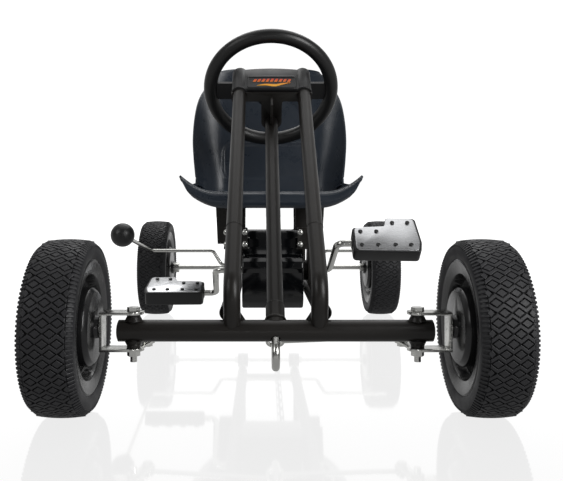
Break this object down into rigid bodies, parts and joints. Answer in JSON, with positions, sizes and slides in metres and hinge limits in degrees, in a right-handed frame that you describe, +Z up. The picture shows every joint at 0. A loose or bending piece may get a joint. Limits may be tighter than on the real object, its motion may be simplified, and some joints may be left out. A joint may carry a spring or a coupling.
{
  "type": "pedal go kart",
  "caption": "Child's pedal go kart: tubular frame, linked front steering, bucket seat, chain drive to the rear axle, hand brake on the rear tyres.",
  "frame": {"origin": "on the ground, halfway between the two axles, in the kart's middle plane", "axes": "+Z up, -Y forward, +X to the driver's left"},
  "size_m": [0.7, 1.18, 0.6677],
  "materials": {
    "frame_paint": "satin black powder coat",
    "black_plastic": "fine-grained moulded black plastic",
    "gloss_case": "polished black plastic",
    "seat_plastic": "semi-gloss blow-moulded plastic, blue-black",
    "zinc_steel": "bright zinc plating",
    "dark_steel": "oiled steel",
    "nylon": "natural nylon",
    "tyre_rubber": "matt black solid rubber with block tread",
    "foam_grip": "matt black foam",
    "pedal_metal": "brushed aluminium",
    "badge": "printed label, abstract stripes"
  },
  "bodies": {
    "frame": {"front_axle_beam": "frame_paint", "lower_tube_left": "frame_paint", "lower_tube_right": "frame_paint", "upper_tube_left": "frame_paint", "upper_tube_right": "frame_paint", "column_tube": "frame_paint", "column_bushes": "nylon", "head_bracket": "frame_paint", "head_cover": "black_plastic", "head_badge": "badge", "rail_left": "frame_paint", "rail_right": "frame_paint", "rear_bracket_left": "frame_paint", "rear_bracket_right": "frame_paint", "rear_bearings": "dark_steel", "crank_hanger_left": "frame_paint", "crank_hanger_right": "frame_paint", "hanger_bolts": "zinc_steel", "crank_bearings": "dark_steel", "seat_bracket_left": "frame_paint", "seat_bracket_right": "frame_paint", "seat_bolts": "zinc_steel", "seat": "seat_plastic", "case_upper": "gloss_case", "case_lower": "gloss_case", "case_screws": "zinc_steel", "drive_chain": "dark_steel", "kingpin_bushes": "nylon", "brake_bushes": "nylon"},
    "steering": {"steering_shaft": "zinc_steel", "steering_wheel": "black_plastic", "steering_grip": "foam_grip", "steering_cap": "black_plastic"},
    "knuckle_left": {"fork_left": "zinc_steel", "kingpin_left": "zinc_steel", "stub_axle_left": "zinc_steel"},
    "knuckle_right": {"fork_right": "zinc_steel", "kingpin_right": "zinc_steel", "stub_axle_right": "zinc_steel"},
    "tie_rod_l": {"tie_rod_left": "zinc_steel"},
    "tie_rod_r": {"tie_rod_right": "zinc_steel"},
    "front_wheel_left": {"front_tyre_left": "tyre_rubber", "front_rim_left": "black_plastic"},
    "front_wheel_right": {"front_tyre_right": "tyre_rubber", "front_rim_right": "black_plastic"},
    "crankset": {"crank": "zinc_steel", "chainring": "dark_steel"},
    "pedal_l": {"pedal_left": "black_plastic", "pedal_plate_left": "pedal_metal"},
    "pedal_r": {"pedal_right": "black_plastic", "pedal_plate_right": "pedal_metal"},
    "rear_drive": {"rear_axle": "zinc_steel", "rear_sprocket": "dark_steel", "rear_wheel_nuts": "zinc_steel", "rear_tyre_right": "tyre_rubber", "rear_rim_right": "black_plastic"},
    "rear_wheel_left": {"rear_tyre_left": "tyre_rubber", "rear_rim_left": "black_plastic"},
    "brake": {"brake_lever": "zinc_steel", "brake_knob": "black_plastic"}
  },
  "joints": [
    {"name": "steer", "type": "hinge", "parent": "frame", "child": "steering", "pos_m": [0, -0.46, 0.124], "axis": [0, 0.7431, 0.6691], "range_deg": [-30, 30]},
    {"name": "kingpin_left_turn", "type": "hinge", "parent": "frame", "child": "knuckle_left", "pos_m": [0.21, -0.46, 0.13], "axis": [0, 0, 1], "range_deg": [-21, 21]},
    {"name": "kingpin_right_turn", "type": "hinge", "parent": "frame", "child": "knuckle_right", "pos_m": [-0.21, -0.46, 0.13], "axis": [0, 0, 1], "range_deg": [-21, 21]},
    {"name": "tie_rod_left_turn", "type": "hinge", "parent": "knuckle_left", "child": "tie_rod_l", "pos_m": [0.19776, -0.40638, 0.1052], "axis": [0, 0, 1], "range_deg": [-21, 21]},
    {"name": "tie_rod_right_turn", "type": "hinge", "parent": "knuckle_right", "child": "tie_rod_r", "pos_m": [-0.19776, -0.40638, 0.1052], "axis": [0, 0, 1], "range_deg": [-21, 21]},
    {"name": "front_left_spin", "type": "hinge", "parent": "knuckle_left", "child": "front_wheel_left", "pos_m": [0.306, -0.46, 0.13], "axis": [1, 0, 0], "continuous": true},
    {"name": "front_right_spin", "type": "hinge", "parent": "knuckle_right", "child": "front_wheel_right", "pos_m": [-0.306, -0.46, 0.13], "axis": [1, 0, 0], "continuous": true},
    {"name": "rear_axle_spin", "type": "hinge", "parent": "frame", "child": "rear_drive", "pos_m": [0, 0.46, 0.13], "axis": [1, 0, 0], "continuous": true},
    {"name": "rear_left_spin", "type": "hinge", "parent": "rear_drive", "child": "rear_wheel_left", "pos_m": [0.31, 0.46, 0.13], "axis": [1, 0, 0], "continuous": true},
    {"name": "crank_spin", "type": "hinge", "parent": "frame", "child": "crankset", "pos_m": [0, -0.17, 0.185], "axis": [1, 0, 0], "continuous": true},
    {"name": "pedal_left_spin", "type": "hinge", "parent": "crankset", "child": "pedal_l", "pos_m": [0.188, -0.27233, 0.24172], "axis": [1, 0, 0], "continuous": true},
    {"name": "pedal_right_spin", "type": "hinge", "parent": "crankset", "child": "pedal_r", "pos_m": [-0.188, -0.06767, 0.12828], "axis": [1, 0, 0], "continuous": true},
    {"name": "brake_pull", "type": "hinge", "parent": "frame", "child": "brake", "pos_m": [0, 0.32788, 0.15], "axis": [-1, 0, 0], "range_deg": [0, 14]}
  ],
  "couplings": [
    {"joint": "kingpin_left_turn", "follows": "steer", "ratio": 0.69},
    {"joint": "kingpin_right_turn", "follows": "steer", "ratio": 0.69},
    {"joint": "tie_rod_left_turn", "follows": "steer", "ratio": -0.69},
    {"joint": "tie_rod_right_turn", "follows": "steer", "ratio": -0.69},
    {"joint": "crank_spin", "follows": "rear_axle_spin", "ratio": 0.75}
  ]
}
